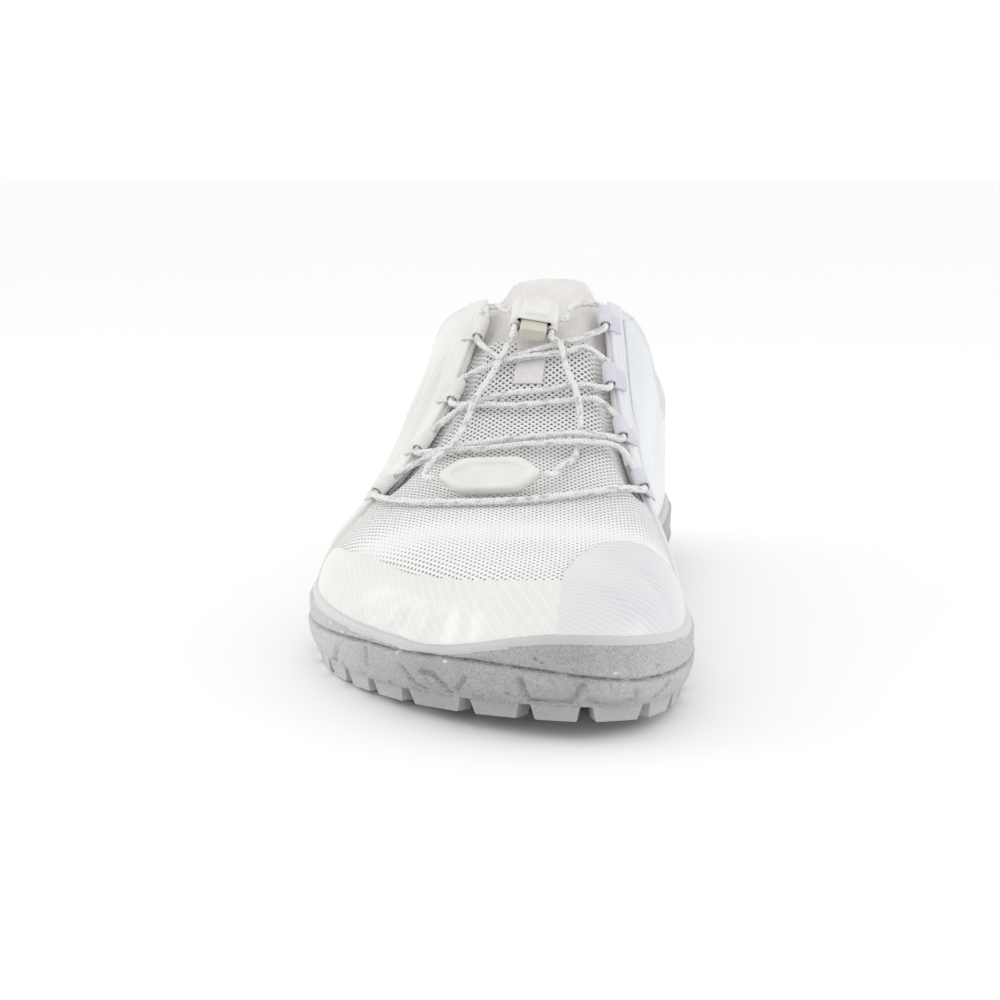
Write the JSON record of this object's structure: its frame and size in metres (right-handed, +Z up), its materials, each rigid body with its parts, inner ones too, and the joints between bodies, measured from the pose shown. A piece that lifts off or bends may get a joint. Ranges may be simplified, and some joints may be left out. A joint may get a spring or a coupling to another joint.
{
  "type": "barefoot shoe",
  "caption": "Right barefoot sports shoe with a wide toe box, hollow mesh upper, lugged cup sole, padded tongue and elastic lace with a cord lock.",
  "frame": {"origin": "on the floor under the middle of the sole's outline", "axes": "+X to the medial (big toe) side, +Y from toe to heel, +Z up"},
  "size_m": [0.1176, 0.2844, 0.1059],
  "materials": {
    "grey_rubber": "matt moulded rubber with a fine leather-like grain, scuffed",
    "white_mesh": "two-layer spacer mesh with staggered holes",
    "footbed_foam": "brushed cloth over thin foam",
    "tongue_cloth": "fine padded knit",
    "cream_tape": "woven tape",
    "lilac_tape": "woven tape under film",
    "pale_blue_film": "thin satin film over a fine square grid",
    "cream_film": "thin glossy film, softly creased",
    "white_cord": "braided elastic cord with grey flecks",
    "cream_plastic": "satin moulded plastic",
    "beige_plastic": "satin moulded plastic"
  },
  "bodies": {
    "shoe": {"outsole": "grey_rubber", "upper": "white_mesh", "insole": "footbed_foam", "tongue": "tongue_cloth", "tongue_strap": "cream_tape", "quarter_medial": "pale_blue_film", "quarter_lateral": "cream_film", "eyestay_medial": "lilac_tape", "eyestay_lateral": "cream_film", "toe_guard_medial": "pale_blue_film", "toe_guard_lateral": "cream_film", "lace_loop_medial_1": "lilac_tape", "lace_loop_medial_2": "lilac_tape", "lace_loop_medial_3": "lilac_tape", "lace_loop_medial_4": "lilac_tape", "lace_loop_lateral_1": "cream_tape", "lace_loop_lateral_2": "cream_tape", "lace_loop_lateral_3": "cream_tape", "lace_loop_lateral_4": "cream_tape", "lace": "white_cord", "lace_end_medial": "white_cord", "lace_end_lateral": "white_cord", "lace_end_clip": "cream_plastic", "lock_housing": "cream_plastic"},
    "lock_button": {"lock_button": "beige_plastic"}
  },
  "joints": [
    {"name": "button_press", "type": "slide", "parent": "shoe", "child": "lock_button", "axis": [0, -0.7937, -0.6083], "range_m": [-0.0025, 0], "stiffness_N_per_m": 300}
  ]
}
